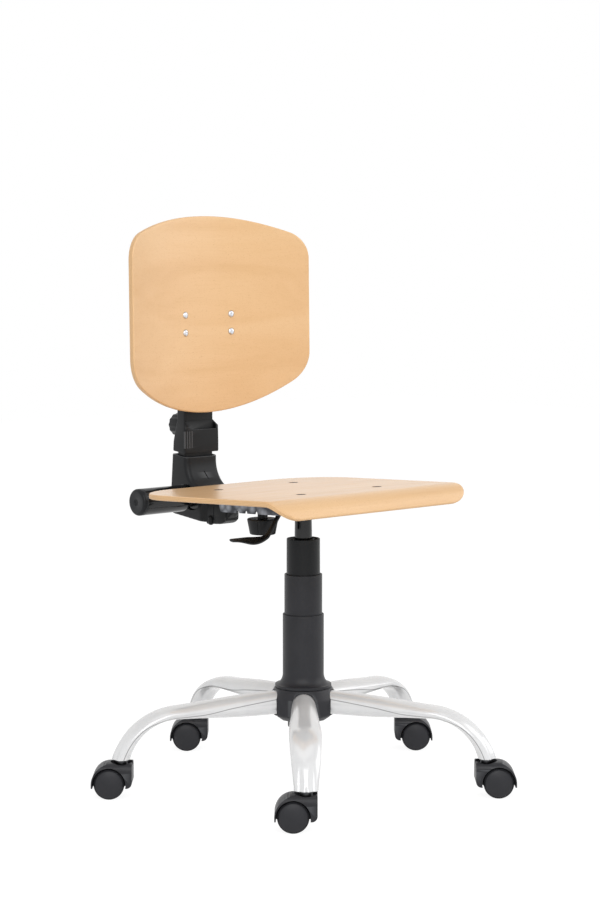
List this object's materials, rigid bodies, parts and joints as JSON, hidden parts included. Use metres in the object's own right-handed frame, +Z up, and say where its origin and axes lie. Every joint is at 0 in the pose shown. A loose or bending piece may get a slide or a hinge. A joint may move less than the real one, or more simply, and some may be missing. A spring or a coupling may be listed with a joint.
{
  "type": "task chair",
  "caption": "Swivel task chair with bent plywood seat and back, telescopic gas column, arched chrome base and twin-wheel casters.",
  "frame": {"origin": "on the floor under the column's axis", "axes": "+Z up along the column, -Y the way the sitter faces, +X to the sitter's left"},
  "size_m": [0.6696, 0.6521, 0.9065],
  "materials": {
    "beech": "bent beech plywood, satin lacquer",
    "black_plastic": "moulded, fine satin grain",
    "chrome": "polished plate",
    "zinc": "bright zinc plate",
    "steel": "plain turned steel",
    "black_steel": "black coat"
  },
  "bodies": {
    "base": {"hub_cover": "black_plastic", "hub_ring": "steel", "lift_tube": "black_steel", "guide_bush": "black_plastic", "cover_lower": "black_plastic", "arm_1": "chrome", "arm_2": "chrome", "arm_3": "chrome", "arm_4": "chrome", "arm_5": "chrome", "caster_1_stem": "steel", "caster_2_stem": "steel", "caster_3_stem": "steel", "caster_4_stem": "steel", "caster_5_stem": "steel"},
    "lift_rod": {"piston_rod": "steel", "thrust_bearing": "steel"},
    "seat": {"gas_cylinder": "black_steel", "cover_upper": "black_plastic", "seat_plate": "zinc", "taper_socket": "black_steel", "seat_board": "beech", "seat_bolt_1": "black_steel", "seat_bolt_2": "black_steel", "seat_bolt_3": "black_steel", "seat_bolt_4": "black_steel", "spring_tube": "black_steel", "tube_cap_left": "black_plastic", "tube_cap_right": "black_plastic", "hinge_cover": "black_plastic"},
    "middle_cover": {"cover_middle": "black_plastic"},
    "lever": {"lift_lever": "black_plastic"},
    "valve": {"valve_pin": "steel"},
    "tension_knob": {"tilt_knob": "black_plastic"},
    "back_support": {"upright_bar": "black_steel", "upright_cover": "black_plastic"},
    "backrest": {"back_sleeve": "black_plastic", "back_board": "beech", "back_screw_1": "zinc", "back_screw_2": "zinc", "back_screw_3": "zinc", "back_screw_4": "zinc"},
    "clamp_knob": {"height_knob": "black_plastic"},
    "caster_1": {"caster_1_housing": "black_plastic"},
    "caster_1_left": {"caster_1_wheel_left": "black_plastic"},
    "caster_1_right": {"caster_1_wheel_right": "black_plastic"},
    "caster_2": {"caster_2_housing": "black_plastic"},
    "caster_2_left": {"caster_2_wheel_left": "black_plastic"},
    "caster_2_right": {"caster_2_wheel_right": "black_plastic"},
    "caster_3": {"caster_3_housing": "black_plastic"},
    "caster_3_left": {"caster_3_wheel_left": "black_plastic"},
    "caster_3_right": {"caster_3_wheel_right": "black_plastic"},
    "caster_4": {"caster_4_housing": "black_plastic"},
    "caster_4_left": {"caster_4_wheel_left": "black_plastic"},
    "caster_4_right": {"caster_4_wheel_right": "black_plastic"},
    "caster_5": {"caster_5_housing": "black_plastic"},
    "caster_5_left": {"caster_5_wheel_left": "black_plastic"},
    "caster_5_right": {"caster_5_wheel_right": "black_plastic"}
  },
  "joints": [
    {"name": "seat_swivel", "type": "hinge", "parent": "base", "child": "lift_rod", "pos_m": [0, 0, 0], "axis": [0, 0, 1], "continuous": true},
    {"name": "seat_lift", "type": "slide", "parent": "lift_rod", "child": "seat", "axis": [0, 0, 1], "range_m": [-0.04, 0.09]},
    {"name": "cover_slide", "type": "slide", "parent": "base", "child": "middle_cover", "axis": [0, 0, 1], "range_m": [-0.02, 0.045]},
    {"name": "lever_pull", "type": "hinge", "parent": "seat", "child": "lever", "pos_m": [-0.028, 0, 0.4553], "axis": [0, 1, 0], "range_deg": [0, 8], "stiffness_Nm_per_rad": 1.2, "springref_deg": -11.46},
    {"name": "valve_press", "type": "slide", "parent": "seat", "child": "valve", "axis": [0, 0, 1], "range_m": [-0.0042, 0]},
    {"name": "tension_turn", "type": "hinge", "parent": "seat", "child": "tension_knob", "pos_m": [-0.072, 0.0152, 0.431], "axis": [0, 0, 1], "continuous": true},
    {"name": "back_tilt", "type": "hinge", "parent": "seat", "child": "back_support", "pos_m": [0, 0.255, 0.441], "axis": [-1, 0, 0], "range_deg": [0, 18], "stiffness_Nm_per_rad": 15, "springref_deg": -17.19},
    {"name": "back_height", "type": "slide", "parent": "back_support", "child": "backrest", "axis": [0, 0, 1], "range_m": [-0.005, 0.06]},
    {"name": "clamp_turn", "type": "hinge", "parent": "backrest", "child": "clamp_knob", "pos_m": [0, 0.288, 0.5575], "axis": [0, 1, 0], "continuous": true},
    {"name": "caster_1_swivel", "type": "hinge", "parent": "base", "child": "caster_1", "pos_m": [-0.19563, -0.22744, 0.06], "axis": [0, 0, 1], "continuous": true},
    {"name": "caster_1_left_roll", "type": "hinge", "parent": "caster_1", "child": "caster_1_left", "pos_m": [-0.20986, -0.21485, 0.024], "axis": [-0.6626, -0.749, 0], "continuous": true},
    {"name": "caster_1_right_roll", "type": "hinge", "parent": "caster_1", "child": "caster_1_right", "pos_m": [-0.20986, -0.21485, 0.024], "axis": [-0.6626, -0.749, 0], "continuous": true},
    {"name": "caster_2_swivel", "type": "hinge", "parent": "base", "child": "caster_2", "pos_m": [0.15586, -0.25634, 0.06], "axis": [0, 0, 1], "continuous": true},
    {"name": "caster_2_left_roll", "type": "hinge", "parent": "caster_2", "child": "caster_2_left", "pos_m": [0.17009, -0.26893, 0.024], "axis": [0.6626, 0.749, 0], "continuous": true},
    {"name": "caster_2_right_roll", "type": "hinge", "parent": "caster_2", "child": "caster_2_right", "pos_m": [0.17009, -0.26893, 0.024], "axis": [0.6626, 0.749, 0], "continuous": true},
    {"name": "caster_3_swivel", "type": "hinge", "parent": "base", "child": "caster_3", "pos_m": [0.29195, 0.06902, 0.06], "axis": [0, 0, 1], "continuous": true},
    {"name": "caster_3_left_roll", "type": "hinge", "parent": "caster_3", "child": "caster_3_left", "pos_m": [0.30618, 0.05643, 0.024], "axis": [0.6626, 0.749, 0], "continuous": true},
    {"name": "caster_3_right_roll", "type": "hinge", "parent": "caster_3", "child": "caster_3_right", "pos_m": [0.30618, 0.05643, 0.024], "axis": [0.6626, 0.749, 0], "continuous": true},
    {"name": "caster_4_swivel", "type": "hinge", "parent": "base", "child": "caster_4", "pos_m": [0.02458, 0.29899, 0.06], "axis": [0, 0, 1], "continuous": true},
    {"name": "caster_4_left_roll", "type": "hinge", "parent": "caster_4", "child": "caster_4_left", "pos_m": [0.01035, 0.31158, 0.024], "axis": [-0.6626, -0.749, 0], "continuous": true},
    {"name": "caster_4_right_roll", "type": "hinge", "parent": "caster_4", "child": "caster_4_right", "pos_m": [0.01035, 0.31158, 0.024], "axis": [-0.6626, -0.749, 0], "continuous": true},
    {"name": "caster_5_swivel", "type": "hinge", "parent": "base", "child": "caster_5", "pos_m": [-0.27676, 0.11577, 0.06], "axis": [0, 0, 1], "continuous": true},
    {"name": "caster_5_left_roll", "type": "hinge", "parent": "caster_5", "child": "caster_5_left", "pos_m": [-0.29099, 0.12836, 0.024], "axis": [-0.6626, -0.749, 0], "continuous": true},
    {"name": "caster_5_right_roll", "type": "hinge", "parent": "caster_5", "child": "caster_5_right", "pos_m": [-0.29099, 0.12836, 0.024], "axis": [-0.6626, -0.749, 0], "continuous": true}
  ],
  "couplings": [
    {"joint": "cover_slide", "follows": "seat_lift", "ratio": 0.5},
    {"joint": "valve_press", "follows": "lever_pull", "m_per_rad": -0.028}
  ]
}
